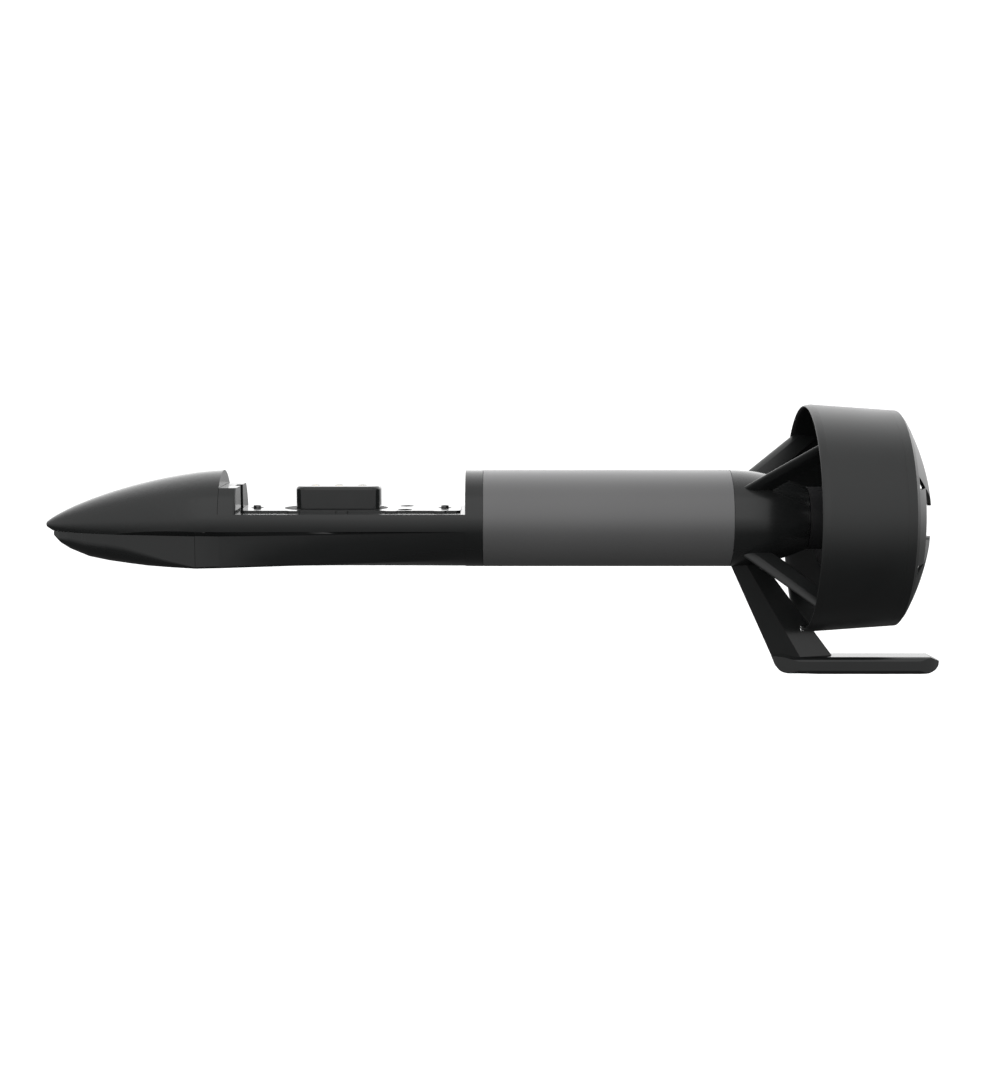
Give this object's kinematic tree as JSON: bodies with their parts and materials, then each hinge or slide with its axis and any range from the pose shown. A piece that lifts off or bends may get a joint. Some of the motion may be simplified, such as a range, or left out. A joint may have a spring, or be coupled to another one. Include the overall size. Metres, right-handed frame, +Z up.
{
  "type": "hydrofoil propulsion unit",
  "caption": "Underwater electric propulsion unit: ogive fuselage with an open mast seat, motor tube, ducted propeller with rear guard, and a skeg bar for the rear wing.",
  "frame": {"origin": "midway between the two mast bolts, on the top face of the seat plate", "axes": "+X aft along the unit towards the propeller, +Y to starboard, +Z up along the mast"},
  "size_m": [0.6517, 0.1648, 0.1962],
  "materials": {
    "body": "matte black anodised",
    "seat_metal": "black anodised plate, fine grain",
    "tube_metal": "bare, satin, slightly blasted",
    "moulding": "black, fine texture",
    "screw_steel": "stainless, turned",
    "insert_steel": "stainless, threaded",
    "contact_metal": "gold plated",
    "rubber_black": "matte",
    "lead_sheath": "silicone, matte",
    "bell_metal": "machined",
    "core_steel": "stacked laminations",
    "copper": "enamelled copper wire",
    "bearing_steel": "ground",
    "magnet_metal": "nickel plated",
    "shaft_steel": "ground stainless",
    "propeller_plastic": "glass filled, satin"
  },
  "bodies": {
    "hull": {"fuselage": "body", "nose_keel": "body", "keel_screws": "screw_steel", "mast_front_block": "body", "front_block_screw": "screw_steel", "seat_plate": "seat_metal", "seat_plate_screws": "screw_steel", "connector_boss": "moulding", "connector_contacts": "contact_metal", "connector_seal": "rubber_black", "mast_inserts": "insert_steel", "wing_inserts": "insert_steel", "phase_leads": "lead_sheath", "tube_orings": "rubber_black", "motor_tube": "tube_metal", "front_end_bell": "bell_metal", "bell_screws": "screw_steel", "stator_core": "core_steel", "stator_windings": "copper", "rear_end_bell": "bell_metal", "motor_tie_bolts": "screw_steel", "bearing_outer_rings": "bearing_steel", "shaft_seals": "rubber_black", "seal_retaining_ring": "screw_steel", "tail_cone": "body", "duct_guard": "moulding", "strut_screws": "screw_steel", "tail_skeg": "body", "skeg_screws": "screw_steel", "stabiliser_inserts": "insert_steel", "rear_guard": "moulding"},
    "rotor": {"motor_shaft": "shaft_steel", "rotor_core": "core_steel", "rotor_magnets": "magnet_metal", "bearing_inner_rings": "bearing_steel", "rotor_spacers": "bell_metal", "propeller": "propeller_plastic", "prop_drive_pin": "shaft_steel", "prop_washer": "screw_steel", "prop_nut": "screw_steel", "spinner": "propeller_plastic", "spinner_screw": "screw_steel"}
  },
  "joints": [
    {"name": "propeller_spin", "type": "hinge", "parent": "hull", "child": "rotor", "pos_m": [0, 0, -0.0075], "axis": [1, 0, 0], "continuous": true}
  ]
}
